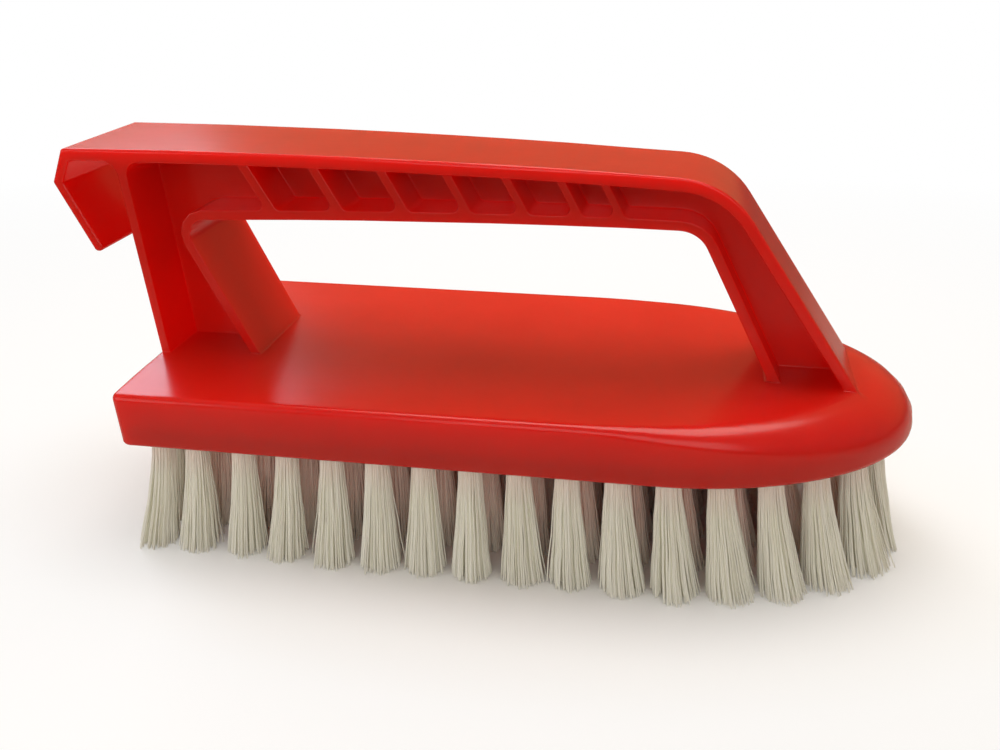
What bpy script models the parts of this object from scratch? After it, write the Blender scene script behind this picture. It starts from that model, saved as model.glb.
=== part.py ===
"""Tile brush: a one-piece moulded block with a looped handle and a hanging hook, and its bristles.

Metres, +Z up. X runs along the brush, from the hook at -X to the rounded nose at +X.
Y runs across it. The bristle tips stand on z = 0, and the origin is under the middle of the brush.
"""

import math
import random

import bmesh
import bpy
from mathutils import Matrix, Vector

# Gaps and overruns shared by every piece.
GAP = 0.0003
OVERRUN = 0.001

# The block that holds the bristles.
BLOCK_LENGTH = 0.1574
BLOCK_WIDTH_REAR = 0.0668
BLOCK_WIDTH_FRONT = 0.0638
BLOCK_THICKNESS = 0.0118
NOSE_LENGTH = 0.0500
REAR_CORNER_RADIUS = 0.0020
REAR_BOW = 0.0010
SIDE_EDGE_ROUND = 0.0014
NOSE_EDGE_ROUND = 0.0128
NOSE_EDGE_DROP = 0.0092
NOSE_ROUND_LENGTH = 0.0640
NOSE_ROUND_POWER = 1.3
BOTTOM_EDGE_ROUND = 0.0010
NOSE_BOTTOM_ROUND = 0.0021
RIM_WIDTH = 0.0022
NOSE_RIM_EXTRA = 0.0020

# The handle: a slanted front post, a bar and an upright rear post, with an outer wall all round.
HANDLE_WIDTH_REAR = 0.0261
HANDLE_WIDTH_FRONT = 0.0210
HANDLE_TAPER_LENGTH = 0.1000
HANDLE_RISE_REAR = 0.0442
HANDLE_RISE_FRONT = 0.0397
HANDLE_CROWN = 0.0011
FRONT_FOOT_SETBACK = 0.0127
FRONT_POST_LEAN = 0.0269
FRONT_SHOULDER_RADIUS = 0.0178
REAR_FOOT_OUTER = 0.0000
REAR_HEAD_OUTER = -0.0014

# The finger loop between the posts.
LOOP_RISE_REAR = 0.0295
LOOP_RISE_FRONT = 0.0298
LOOP_CROWN = 0.0007
FRONT_FOOT_DEPTH = 0.0163
LOOP_FRONT_LEAN = 0.0151
LOOP_REAR_FOOT = 0.0224
LOOP_REAR_TOP = 0.0094
LOOP_FRONT_RADIUS = 0.0062
LOOP_REAR_RADIUS = 0.0035

# Walls of the handle's section, its narrower inner wall, and the slanted ribs that stiffen the bar.
TOP_WALL = 0.0025
LOOP_WALL = 0.0020
POST_WALL = 0.0021
WEB_THICKNESS = 0.0024
INNER_SETBACK = 0.0016
POCKET_CORNER_RADIUS = 0.0012
POST_CORNER_RADIUS = 0.0030
RIB_THICKNESS_REAR = 0.0024
RIB_THICKNESS_FRONT = 0.0015
RIB_LEAN_SHARE = 0.52
RIB_PLACE_SHARES = (0.146, 0.285, 0.416, 0.539, 0.648, 0.748, 0.826)
HANDLE_EDGE_ROUND = 0.0005
RIM_PROFILE_SHARE = 0.5
POST_ROOT_DEPTH = 0.0010
FOOT_TOE_DEPTH = 0.0002
LOOP_FOOT_FILLET = 0.0009
LOOP_TOE_SHARE = 4.0
WALL_OVERLAP_SHARE = 0.4
POCKET_OVERLAP_SHARE = 0.7

# The hook: a plate that hangs from the bar's tail behind the rear post.
HOOK_REACH = 0.0160
HOOK_TAIL_REACH = 0.0125
HOOK_KINK_DROP = 0.0068
HOOK_TIP_DROP = 0.0217
HOOK_TIP_REACH = 0.0099
HOOK_WALL = 0.0021
HOOK_TIP_RADIUS = 0.0009
HOOK_KINK_RADIUS = 0.0010
HOOK_ROOT_RADIUS = 0.0030
TAIL_EDGE_RADIUS = 0.0010

# The bristles, set in tufts along rows.
BRISTLE_LENGTH = 0.0257
INNER_ROWS_A_SIDE = 2
EDGE_ROW_INSET = 0.0051
FIRST_TUFT = 0.0057
TUFT_PITCH = 0.0096
TUFT_CLEAR = 0.0072
BACKING_DEPTH = 0.0030
TUFTS_A_SLICE = 4
STRANDS_A_TUFT = 4
STRAND_SIDES = 3
STRAND_FOOT_RADIUS = 0.00098
STRAND_TIP_RADIUS = 0.00150
TUFT_FOOT_SPREAD = 0.00145
TUFT_TIP_SPREAD = 0.00290
SIDE_LEAN = 0.0024
NOSE_LEAN = 0.0042
REAR_LEAN = 0.0044
UPRIGHT_TUFT = 0.0780
TIP_CUT = 0.0005
TIP_UNEVENNESS = 0.0014
STRAND_SEED = 7

# How finely round stretches are divided, and where shading breaks.
SHARP_ANGLE = math.radians(35)
CORNER_STEPS = 4
SHOULDER_STEPS = 10
EDGE_STEPS = 6
SIDE_STEPS = 10
NOSE_STEPS = 26
REAR_STEPS = 6
BAR_STEPS = 8
CORNER_REACH_SHARE = 0.49

# Places worked out from the sizes above.
BLOCK_BOTTOM = BRISTLE_LENGTH
BLOCK_TOP = BLOCK_BOTTOM + BLOCK_THICKNESS
NOSE_START = BLOCK_LENGTH - NOSE_LENGTH
FRONT_FOOT_OUTER = BLOCK_LENGTH - FRONT_FOOT_SETBACK
FRONT_SHOULDER = FRONT_FOOT_OUTER - FRONT_POST_LEAN
LOOP_FRONT_FOOT = FRONT_FOOT_OUTER - FRONT_FOOT_DEPTH
LOOP_FRONT_TOP = LOOP_FRONT_FOOT - LOOP_FRONT_LEAN
HOOK_END = REAR_FOOT_OUTER - HOOK_REACH
NOSE_ROW_END = BLOCK_LENGTH - NOSE_RIM_EXTRA - EDGE_ROW_INSET

RED = (0.62, 0.012, 0.008, 1.0)
IVORY = (0.66, 0.64, 0.53, 1.0)


def clear_scene():
    """Remove what the file opened with."""
    for item in list(bpy.data.objects):
        bpy.data.objects.remove(item, do_unlink=True)


def make_material(name, colour, roughness):
    """A plain plastic."""
    material = bpy.data.materials.new(name)
    material.use_nodes = True
    shader = material.node_tree.nodes["Principled BSDF"]
    shader.inputs["Base Color"].default_value = colour
    shader.inputs["Roughness"].default_value = roughness
    shader.inputs["Metallic"].default_value = 0.0
    return material


def make_object(name, bm, material, parent):
    """Turn a bmesh into a named object of one material."""
    bmesh.ops.recalc_face_normals(bm, faces=bm.faces)
    mesh = bpy.data.meshes.new(name)
    bm.to_mesh(mesh)
    bm.free()
    mesh.materials.append(material)
    item = bpy.data.objects.new(name, mesh)
    bpy.context.scene.collection.objects.link(item)
    item.parent = parent
    return item


def combine(item, other, operation):
    """Join or cut an object with another one, which is then used up."""
    step = item.modifiers.new(operation.title(), "BOOLEAN")
    step.operation = operation
    step.solver = "EXACT"
    step.object = other


def apply_steps(item):
    """Turn an object's Booleans into its own mesh, and remove the objects that they used."""
    used = [step.object for step in item.modifiers]
    bpy.context.view_layer.update()
    graph = bpy.context.evaluated_depsgraph_get()
    rough = item.data
    item.data = bpy.data.meshes.new_from_object(item.evaluated_get(graph))
    item.data.name = item.name
    item.modifiers.clear()
    bpy.data.meshes.remove(rough)
    for other in used:
        bpy.data.objects.remove(other, do_unlink=True)
    item.data.shade_smooth()
    item.data.set_sharp_from_angle(angle=SHARP_ANGLE)


def round_corners(corners, steps=CORNER_STEPS):
    """Points of an outline whose corners (x, z, radius) are arcs; radius zero stays sharp."""
    points = []
    count = len(corners)
    for index, (x, z, radius) in enumerate(corners):
        corner = Vector((x, z))
        if radius == 0:
            points.append(corner)
            continue
        before = Vector(corners[index - 1][:2]) - corner
        after = Vector(corners[(index + 1) % count][:2]) - corner
        half_angle = before.angle(after) / 2
        reach = radius / math.tan(half_angle)
        reach = min(reach, before.length * CORNER_REACH_SHARE, after.length * CORNER_REACH_SHARE)
        true_radius = reach * math.tan(half_angle)
        middle = (before.normalized() + after.normalized()).normalized()
        centre = corner + middle * (true_radius / math.sin(half_angle))
        start = corner + before.normalized() * reach - centre
        end = corner + after.normalized() * reach - centre
        turn = start.angle_signed(end)
        for step in range(steps + 1):
            share = step / steps
            angle = -turn * share
            swung = Vector((start.x * math.cos(angle) - start.y * math.sin(angle),
                            start.x * math.sin(angle) + start.y * math.cos(angle)))
            points.append(centre + swung)
    return points


def handle_side(x):
    """Half of the handle's width, which narrows as far as the taper's end and then runs level."""
    share = min(x / HANDLE_TAPER_LENGTH, 1.0)
    return (HANDLE_WIDTH_REAR + (HANDLE_WIDTH_FRONT - HANDLE_WIDTH_REAR) * share) / 2


def side_plate(outline, low_y, high_y):
    """A bmesh plate of a side outline in x and z, between two functions that give y at a place x."""
    bm = bmesh.new()
    verts = [bm.verts.new((point.x, 0, point.y)) for point in outline]
    face = bm.faces.new(verts)
    grown = bmesh.ops.extrude_face_region(bm, geom=[face])
    moved = [part for part in grown["geom"] if isinstance(part, bmesh.types.BMVert)]
    bmesh.ops.translate(bm, verts=moved, vec=(0, 1, 0))
    bmesh.ops.bisect_plane(bm, geom=bm.verts[:] + bm.edges[:] + bm.faces[:],
                           plane_co=(HANDLE_TAPER_LENGTH, 0, 0), plane_no=(1, 0, 0))
    for vert in bm.verts:
        vert.co.y = high_y(vert.co.x) if vert.co.y > 0 else low_y(vert.co.x)
    bmesh.ops.recalc_face_normals(bm, faces=bm.faces)
    return bm


def through_plate(outline):
    """A plate that passes right through the handle."""
    outside = HANDLE_WIDTH_REAR / 2 + HOOK_REACH
    return side_plate(outline, lambda x: -outside, lambda x: outside)


def plan_plate(outline, low_z, high_z):
    """A bmesh plate of a plan outline in x and y, between two heights."""
    bm = bmesh.new()
    verts = [bm.verts.new((point.x, point.y, low_z)) for point in outline]
    face = bm.faces.new(verts)
    grown = bmesh.ops.extrude_face_region(bm, geom=[face])
    moved = [part for part in grown["geom"] if isinstance(part, bmesh.types.BMVert)]
    bmesh.ops.translate(bm, verts=moved, vec=(0, 0, high_z - low_z))
    return bm


def half_width(x):
    """Half of the block's width, which narrows a little from the rear to where the nose starts."""
    share = min(x / NOSE_START, 1.0)
    return (BLOCK_WIDTH_REAR + (BLOCK_WIDTH_FRONT - BLOCK_WIDTH_REAR) * share) / 2


def block_outline(inset=0.0, nose_extra=0.0, bow=0.0):
    """The block seen from above, as (place, outward direction) pairs, moved in by an inset."""
    half = half_width(NOSE_START) - inset
    nose = NOSE_LENGTH - inset - nose_extra
    corner = max(REAR_CORNER_RADIUS - inset, GAP)
    rear = inset
    near_side = []
    for step in range(EDGE_STEPS + 1):
        angle = math.pi + math.pi / 2 * step / EDGE_STEPS
        side = corner + inset - half_width(rear + corner)
        place = Vector((rear + corner + corner * math.cos(angle), side + corner * math.sin(angle)))
        near_side.append((place, Vector((math.cos(angle), math.sin(angle)))))
    straight = NOSE_START - rear - corner
    for step in range(1, SIDE_STEPS):
        x = NOSE_START - straight * (1 - step / SIDE_STEPS) ** 2
        near_side.append((Vector((x, inset - half_width(x))), Vector((0, -1))))
    for step in range(NOSE_STEPS + 1):
        angle = -math.pi / 2 + math.pi / 2 * step / NOSE_STEPS
        place = Vector((NOSE_START + nose * math.cos(angle), half * math.sin(angle)))
        outward = Vector((half * math.cos(angle), nose * math.sin(angle))).normalized()
        near_side.append((place, outward))
    far_side = [(Vector((place.x, -place.y)), Vector((outward.x, -outward.y)))
                for place, outward in reversed(near_side[:-1])]
    shares = [1 - 2 * step / REAR_STEPS for step in range(1, REAR_STEPS)]
    rear_side = [(Vector((rear - bow * (1 - share * share), share * half_width(rear))), Vector((-1, 0)))
                 for share in shares]
    return near_side + far_side + (rear_side if bow else [])


def nose_share(x):
    """How far the edges' rounding has grown towards the nose: zero along the sides, one at the tip."""
    reach = (x - BLOCK_LENGTH + NOSE_ROUND_LENGTH) / NOSE_ROUND_LENGTH
    return min(max(reach, 0.0), 1.0) ** NOSE_ROUND_POWER


def block_rings():
    """Rings of the block's side, as lists of points, from the bottom face up to the top face."""
    outline = block_outline(bow=REAR_BOW)
    turns = [math.pi / 2 * step / EDGE_STEPS for step in range(EDGE_STEPS + 1)]
    rings = []
    for turn in turns:
        ring = []
        for place, outward in outline:
            radius = BOTTOM_EDGE_ROUND + (NOSE_BOTTOM_ROUND - BOTTOM_EDGE_ROUND) * nose_share(place.x)
            inset = radius * (1 - math.sin(turn))
            ring.append((*(place - outward * inset), BLOCK_BOTTOM + radius * (1 - math.cos(turn))))
        rings.append(ring)
    for turn in turns:
        ring = []
        for place, outward in outline:
            share = nose_share(place.x)
            inset = (SIDE_EDGE_ROUND + (NOSE_EDGE_ROUND - SIDE_EDGE_ROUND) * share) * (1 - math.cos(turn))
            drop = (SIDE_EDGE_ROUND + (NOSE_EDGE_DROP - SIDE_EDGE_ROUND) * share) * (1 - math.sin(turn))
            ring.append((*(place - outward * inset), BLOCK_TOP - drop))
        rings.append(ring)
    return rings


def make_block(material, parent):
    """The block: rings of its outline, bridged and closed by its two flat faces."""
    bm = bmesh.new()
    loops = []
    for ring in block_rings():
        verts = [bm.verts.new(point) for point in ring]
        loops.append([bm.edges.new((vert, verts[index - 1])) for index, vert in enumerate(verts)])
    for lower, upper in zip(loops[:-1], loops[1:]):
        bmesh.ops.bridge_loops(bm, edges=lower + upper)
    for loop in (loops[0], loops[-1]):
        bmesh.ops.edgeloop_fill(bm, edges=loop)
    return make_object("brush_body", bm, material, parent)


def along(low_x, low, high_x, high, x, crown):
    """Height of a gently crowned line between two ends."""
    share = (x - low_x) / (high_x - low_x)
    return low + (high - low) * share + crown * 4 * share * (1 - share)


def top_height(x):
    """Height of the handle's top."""
    return along(HOOK_END, BLOCK_TOP + HANDLE_RISE_REAR, FRONT_SHOULDER, BLOCK_TOP + HANDLE_RISE_FRONT, x,
                 HANDLE_CROWN)


def loop_height(x):
    """Height of the bar's underside, over the finger loop."""
    return along(LOOP_REAR_TOP, BLOCK_TOP + LOOP_RISE_REAR, LOOP_FRONT_TOP, BLOCK_TOP + LOOP_RISE_FRONT, x,
                 LOOP_CROWN)


def post_line(foot, head, rise, z):
    """Place along the brush of a straight post face at a height."""
    return foot + (head - foot) * (z - BLOCK_TOP) / rise


def rear_outer(z):
    """Rear face of the rear post."""
    return post_line(REAR_FOOT_OUTER, REAR_HEAD_OUTER, HANDLE_RISE_REAR, z)


def rear_inner(z):
    """Face of the rear post in the finger loop."""
    return post_line(LOOP_REAR_FOOT, LOOP_REAR_TOP, LOOP_RISE_REAR, z)


def front_inner(z):
    """Face of the front post in the finger loop."""
    return post_line(LOOP_FRONT_FOOT, LOOP_FRONT_TOP, LOOP_RISE_FRONT, z)


def front_outer(z):
    """Front face of the front post."""
    return post_line(FRONT_FOOT_OUTER, FRONT_SHOULDER, HANDLE_RISE_FRONT, z)


def level_run(wall, foot, head, rise):
    """Level width of a wall that leans as a post face does."""
    return wall * math.hypot(rise, head - foot) / rise


REAR_WALL_RUN = level_run(POST_WALL, REAR_FOOT_OUTER, REAR_HEAD_OUTER, HANDLE_RISE_REAR)
LOOP_REAR_RUN = level_run(LOOP_WALL, LOOP_REAR_FOOT, LOOP_REAR_TOP, LOOP_RISE_REAR)
LOOP_FRONT_RUN = level_run(LOOP_WALL, LOOP_FRONT_FOOT, LOOP_FRONT_TOP, LOOP_RISE_FRONT)
FRONT_WALL_RUN = level_run(POST_WALL, FRONT_FOOT_OUTER, FRONT_SHOULDER, HANDLE_RISE_FRONT)


def sampled(height, low_x, high_x, lift=0.0):
    """Corners along a crowned line, without its two ends."""
    places = [low_x + (high_x - low_x) * step / BAR_STEPS for step in range(1, BAR_STEPS)]
    return [(x, height(x) + lift, 0) for x in places]


def hook_corners():
    """Corners of the slot behind the rear post and of the hook, from the slot's root to the tail."""
    tail_top = top_height(HOOK_END)
    slot_top = tail_top - TOP_WALL
    kink = Vector((HOOK_END, tail_top - HOOK_KINK_DROP))
    tip = Vector((REAR_FOOT_OUTER - HOOK_TIP_REACH, tail_top - HOOK_TIP_DROP))
    tail = Vector((REAR_FOOT_OUTER - HOOK_TAIL_REACH, top_height(REAR_FOOT_OUTER - HOOK_TAIL_REACH)))
    lower_run = (tip - kink).normalized()
    inward = Vector((-lower_run.y, lower_run.x)) * HOOK_WALL
    upper_run = (tail - kink).normalized()
    upper_inward = Vector((upper_run.y, -upper_run.x)) * HOOK_WALL
    inner_kink = kink + (inward + upper_inward) / (1 + inward.normalized().dot(upper_inward.normalized()))
    rise = slot_top - inner_kink.y
    slot_head = inner_kink + upper_run * (rise / upper_run.y)
    tip_inner = tip + inward
    return [
        (rear_outer(slot_top), slot_top, HOOK_ROOT_RADIUS),
        (slot_head.x, slot_head.y, HOOK_KINK_RADIUS),
        (inner_kink.x, inner_kink.y, HOOK_KINK_RADIUS),
        (tip_inner.x, tip_inner.y, HOOK_TIP_RADIUS),
        (tip.x, tip.y, HOOK_TIP_RADIUS),
        (kink.x, kink.y, HOOK_KINK_RADIUS),
        (tail.x, tail.y, TAIL_EDGE_RADIUS),
    ]


def wall_outline():
    """The handle's outer wall seen from the side, hook included, as if it were solid inside."""
    base = BLOCK_TOP - POST_ROOT_DEPTH
    corners = [(rear_outer(base), base, 0)]
    corners += hook_corners()
    corners += sampled(top_height, REAR_HEAD_OUTER, FRONT_SHOULDER - FRONT_SHOULDER_RADIUS)
    corners += [(FRONT_SHOULDER, top_height(FRONT_SHOULDER), FRONT_SHOULDER_RADIUS),
                (front_outer(base), base, 0)]
    return round_corners(corners, SHOULDER_STEPS)


def inside_outline(depth_share):
    """The space inside the outer wall; a depth share of one is its true face, less lies in the wall."""
    base = BLOCK_TOP - POST_ROOT_DEPTH - OVERRUN
    rear_run = REAR_WALL_RUN * depth_share
    front_run = FRONT_WALL_RUN * depth_share
    lower = TOP_WALL * depth_share
    rear_head = top_height(REAR_HEAD_OUTER) - lower
    front_head = top_height(FRONT_SHOULDER) - lower
    top = sampled(top_height, REAR_HEAD_OUTER, FRONT_SHOULDER - FRONT_SHOULDER_RADIUS, -lower)
    corners = [(rear_outer(base) + rear_run, base, 0),
               (rear_outer(rear_head) + rear_run, rear_head, POST_CORNER_RADIUS), *top,
               (front_outer(front_head) - front_run, front_head, FRONT_SHOULDER_RADIUS - POST_WALL),
               (front_outer(base) - front_run, base, 0)]
    return round_corners(corners, SHOULDER_STEPS)


def loop_outline():
    """The finger loop seen from the side, with its small fillets at the block."""
    base = BLOCK_TOP - POST_ROOT_DEPTH - OVERRUN
    toe = BLOCK_TOP - FOOT_TOE_DEPTH
    toe_run = LOOP_FOOT_FILLET * LOOP_TOE_SHARE
    rear = rear_inner(toe)
    front = front_inner(toe)
    corners = [(rear + toe_run, base, 0), (rear + toe_run, toe, 0), (rear, toe, LOOP_FOOT_FILLET),
               (LOOP_REAR_TOP, loop_height(LOOP_REAR_TOP), LOOP_REAR_RADIUS)]
    corners += sampled(loop_height, LOOP_REAR_TOP, LOOP_FRONT_TOP)
    corners += [(LOOP_FRONT_TOP, loop_height(LOOP_FRONT_TOP), LOOP_FRONT_RADIUS),
                (front, toe, LOOP_FOOT_FILLET), (front - toe_run, toe, 0), (front - toe_run, base, 0)]
    return round_corners(corners, SHOULDER_STEPS)


def round_rims(bm):
    """Soften the edges where the plate's sides meet its outline."""
    rims = [edge for edge in bm.edges
            if len([face for face in edge.link_faces if abs(face.normal.y) > math.cos(SHARP_ANGLE)]) == 1]
    bmesh.ops.bevel(bm, geom=rims, offset=HANDLE_EDGE_ROUND, segments=2, profile=RIM_PROFILE_SHARE,
                    affect="EDGES", clamp_overlap=True)


def make_wall(material, parent):
    """The outer wall of posts and bar, with the hook."""
    bm = side_plate(wall_outline(), lambda x: -handle_side(x), handle_side)
    round_rims(bm)
    wall = make_object("handle_wall", bm, material, parent)
    inside = make_object("inside_cut", through_plate(inside_outline(1.0)), material, parent)
    combine(wall, inside, "DIFFERENCE")
    apply_steps(wall)
    return wall


def make_inner_section(material, parent):
    """What the outer wall carries inside: web, ribs and the wall round the finger loop."""
    bm = side_plate(inside_outline(WALL_OVERLAP_SHARE), lambda x: INNER_SETBACK - handle_side(x),
                    lambda x: handle_side(x) - INNER_SETBACK)
    inner = make_object("handle_inside", bm, material, parent)
    combine(inner, make_object("loop_cut", through_plate(loop_outline()), material, parent), "DIFFERENCE")
    cut_pockets(inner, material, parent)
    return inner


def rib_face(share, side):
    """A rib's two corners, at the pocket's top and bottom. Side -1 is its rear face, 1 its front face."""
    bar = LOOP_FRONT_TOP - LOOP_REAR_TOP
    thickness = RIB_THICKNESS_REAR + (RIB_THICKNESS_FRONT - RIB_THICKNESS_REAR) * share
    top_x = LOOP_REAR_TOP + bar * share + side * thickness / 2
    top_z = top_height(top_x) - TOP_WALL * POCKET_OVERLAP_SHARE
    bottom_x = top_x + (top_z - loop_height(top_x) - LOOP_WALL) * RIB_LEAN_SHARE
    return (top_x, top_z), (bottom_x, loop_height(bottom_x) + LOOP_WALL)


def rear_pocket(front_top, front_bottom):
    """Corners of the pocket in the rear post, as far as a face across the bar."""
    base = BLOCK_TOP - POST_ROOT_DEPTH - OVERRUN
    head = top_height(REAR_HEAD_OUTER) - TOP_WALL * POCKET_OVERLAP_SHARE
    lip = loop_height(LOOP_REAR_TOP) + LOOP_WALL
    run = REAR_WALL_RUN * POCKET_OVERLAP_SHARE
    return [
        (rear_outer(base) + run, base, 0),
        (rear_inner(base) - LOOP_REAR_RUN, base, 0),
        (rear_inner(lip) - LOOP_REAR_RUN, lip, LOOP_REAR_RADIUS + LOOP_WALL),
        (*front_bottom, POCKET_CORNER_RADIUS),
        (*front_top, 0),
        (rear_outer(head) + run, head, 0),
    ]


def front_pocket(rear_top, rear_bottom):
    """Corners of the pocket in the front post, from a face across the bar."""
    base = BLOCK_TOP - POST_ROOT_DEPTH - OVERRUN
    head = top_height(FRONT_SHOULDER) - TOP_WALL * POCKET_OVERLAP_SHARE
    lip = loop_height(LOOP_FRONT_TOP) + LOOP_WALL
    run = FRONT_WALL_RUN * POCKET_OVERLAP_SHARE
    return [
        (front_inner(base) + LOOP_FRONT_RUN, base, 0),
        (front_outer(base) - run, base, 0),
        (front_outer(head) - run, head, FRONT_SHOULDER_RADIUS),
        (*rear_top, 0),
        (*rear_bottom, POCKET_CORNER_RADIUS),
        (front_inner(lip) + LOOP_FRONT_RUN, lip, LOOP_FRONT_RADIUS + LOOP_WALL),
    ]


def bar_pocket(rear_share, front_share):
    """Corners of the pocket between two ribs."""
    rear_top, rear_bottom = rib_face(rear_share, 1)
    front_top, front_bottom = rib_face(front_share, -1)
    return [(*rear_top, 0), (*rear_bottom, POCKET_CORNER_RADIUS), (*front_bottom, POCKET_CORNER_RADIUS),
            (*front_top, 0)]


def pocket_outlines():
    """Every pocket of one side of the handle."""
    corners = [rear_pocket(*rib_face(RIB_PLACE_SHARES[0], -1))]
    for rear_share, front_share in zip(RIB_PLACE_SHARES[:-1], RIB_PLACE_SHARES[1:]):
        corners.append(bar_pocket(rear_share, front_share))
    corners.append(front_pocket(*rib_face(RIB_PLACE_SHARES[-1], 1)))
    return [round_corners(pocket, CORNER_STEPS) for pocket in corners]


def cut_pockets(inner, material, parent):
    """Hollow both sides of the inner section down to its web."""
    outside = HANDLE_WIDTH_REAR / 2 + OVERRUN
    for side in (-1, 1):
        low, high = sorted((side * WEB_THICKNESS / 2, side * outside))
        for number, outline in enumerate(pocket_outlines()):
            name = f"pocket_cut_{number}_{'near' if side < 0 else 'far'}"
            bm = side_plate(outline, lambda x: low, lambda x: high)
            combine(inner, make_object(name, bm, material, parent), "DIFFERENCE")
    apply_steps(inner)


def make_recess(material, parent):
    """The space in the block's underside that the slices of backing fill."""
    outline = [place for place, _ in block_outline(RIM_WIDTH, NOSE_RIM_EXTRA)]
    bm = plan_plate(outline, BLOCK_BOTTOM - OVERRUN, BLOCK_BOTTOM + BACKING_DEPTH + GAP)
    return make_object("recess_cut", bm, material, parent)


def make_body(material, parent):
    """Block, handle and hook as the one moulding that they are."""
    body = make_block(material, parent)
    combine(body, make_wall(material, parent), "UNION")
    combine(body, make_inner_section(material, parent), "UNION")
    combine(body, make_recess(material, parent), "DIFFERENCE")
    apply_steps(body)


def edge_path():
    """Line of the row that follows the block's outline, as (place, outward direction) pairs."""
    half = half_width(NOSE_START) - EDGE_ROW_INSET
    nose = NOSE_ROW_END - NOSE_START
    rear = RIM_WIDTH + GAP
    rear_half = half_width(rear) - EDGE_ROW_INSET
    pairs = [(Vector((rear, -rear_half)), Vector((0, -1)))]
    for step in range(NOSE_STEPS * 2 + 1):
        angle = math.pi / 2 * (step / NOSE_STEPS - 1)
        place = Vector((NOSE_START + nose * math.cos(angle), half * math.sin(angle)))
        outward = Vector((half * math.cos(angle), nose * math.sin(angle))).normalized()
        pairs.append((place, outward))
    pairs.append((Vector((rear, rear_half)), Vector((0, 1))))
    return pairs


def runs_along(path):
    """Distance from the path's start to each of its points."""
    runs = [0.0]
    for (before, _), (after, _) in zip(path[:-1], path[1:]):
        runs.append(runs[-1] + (after - before).length)
    return runs


def walk(path, goal):
    """Place and outward direction at a distance along a path."""
    runs = runs_along(path)
    index = max(place for place, run in enumerate(runs[:-1]) if run <= goal)
    share = (goal - runs[index]) / (runs[index + 1] - runs[index])
    (place, outward), (next_place, next_outward) = path[index], path[index + 1]
    return place.lerp(next_place, share), outward.lerp(next_outward, share).normalized()


def reach_at(path, offset, y):
    """Place along the brush where a path, moved out by an offset, crosses a line at y."""
    moved = [place + outward * offset for place, outward in path]
    for before, after in zip(moved[1:-2], moved[2:-1]):
        if before.y <= y <= after.y:
            return before.lerp(after, (y - before.y) / (after.y - before.y)).x
    return moved[1].x


def edge_goals(path):
    """Distances along the path of its tufts, evenly spread, with one either side of the nose's middle."""
    start = FIRST_TUFT - path[0][0].x
    length = runs_along(path)[-1] - start * 2
    spaces = round((length / TUFT_PITCH - 1) / 2) * 2 + 1
    return [start + length * number / spaces for number in range(spaces + 1)]


def row_pitch(x):
    """Distance between rows, which share the block's width evenly."""
    return (half_width(x) - EDGE_ROW_INSET) / (INNER_ROWS_A_SIDE + 1)


def row_places(path, number):
    """Tufts of an inner row, given by its number from the middle one; they stand in line across the brush."""
    last = reach_at(path, -TUFT_CLEAR, number * row_pitch(NOSE_START))
    count = int((last - FIRST_TUFT) / TUFT_PITCH) + 1
    places = [FIRST_TUFT + TUFT_PITCH * step for step in range(count)]
    return [Vector((x, number * row_pitch(x))) for x in places]


def slice_bounds(count):
    """Neighbouring tufts of one row, shared out into slices of like size."""
    slices = math.ceil(count / TUFTS_A_SLICE)
    bounds = [round(count * step / slices) for step in range(slices + 1)]
    return list(zip(bounds[:-1], bounds[1:]))


def between(places, index, low, high):
    """The border before a tuft: halfway to the tuft behind it, or the row's own end."""
    if index == 0:
        return low
    if index == len(places):
        return high
    return (places[index - 1] + places[index]) / 2


def edge_slice_outline(path, start, end):
    """A stretch of the band that the edge row fills, between two distances along its path."""
    outer = EDGE_ROW_INSET - RIM_WIDTH - GAP
    runs = runs_along(path)
    stations = [walk(path, start)]
    stations += [pair for pair, run in zip(path, runs) if start + GAP < run < end - GAP]
    stations.append(walk(path, end))
    corner = max(REAR_CORNER_RADIUS - RIM_WIDTH - GAP, 0.0)
    outside = [(*(place + outward * outer), 0) for place, outward in stations]
    inside = [(*(place - outward * (row_pitch(place.x) - GAP) / 2), 0)
              for place, outward in reversed(stations)]
    if start == 0:
        outside[0] = (*outside[0][:2], corner)
    if end == runs[-1]:
        outside[-1] = (*outside[-1][:2], corner)
    return round_corners(outside + inside)


def row_border(number, side, x):
    """Corner of an inner row's strip at a place along the brush, on its low side (-1) or high side (1)."""
    return Vector((x, (number + side / 2) * row_pitch(x) - side * GAP / 2))


def row_slice_outline(path, number, start, end, is_last):
    """A stretch of an inner row's strip; the last one ends along the edge band."""
    rear = [row_border(number, 1, start), row_border(number, -1, start)]
    if not is_last:
        return rear + [row_border(number, -1, end), row_border(number, 1, end)]
    low_y = row_border(number, -1, NOSE_START).y
    high_y = row_border(number, 1, NOSE_START).y
    inset = (row_pitch(NOSE_START) + GAP) / 2
    places = [low_y + (high_y - low_y) * step / CORNER_STEPS for step in range(CORNER_STEPS + 1)]
    return rear + [Vector((reach_at(path, -inset, y), y)) for y in places]


def lean_of(spot):
    """How far a tuft's tips lie outside its foot: nothing in the middle, most at the edges."""
    onward = max(0.0, (spot.x - UPRIGHT_TUFT) / (NOSE_ROW_END - UPRIGHT_TUFT)) * NOSE_LEAN
    backward = max(0.0, 1 - spot.x / UPRIGHT_TUFT) * REAR_LEAN
    return Vector((onward - backward, spot.y / half_width(spot.x) * SIDE_LEAN))


def front_reach():
    """Place along the brush of the furthest strand corner at the nose."""
    path = edge_path()
    reaches = [place + lean_of(place) + outward * (TUFT_TIP_SPREAD + STRAND_TIP_RADIUS)
               for place, outward in (walk(path, goal) for goal in edge_goals(path))]
    return max(reach.x for reach in reaches)


MIDDLE_X = (HOOK_END + front_reach()) / 2


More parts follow.
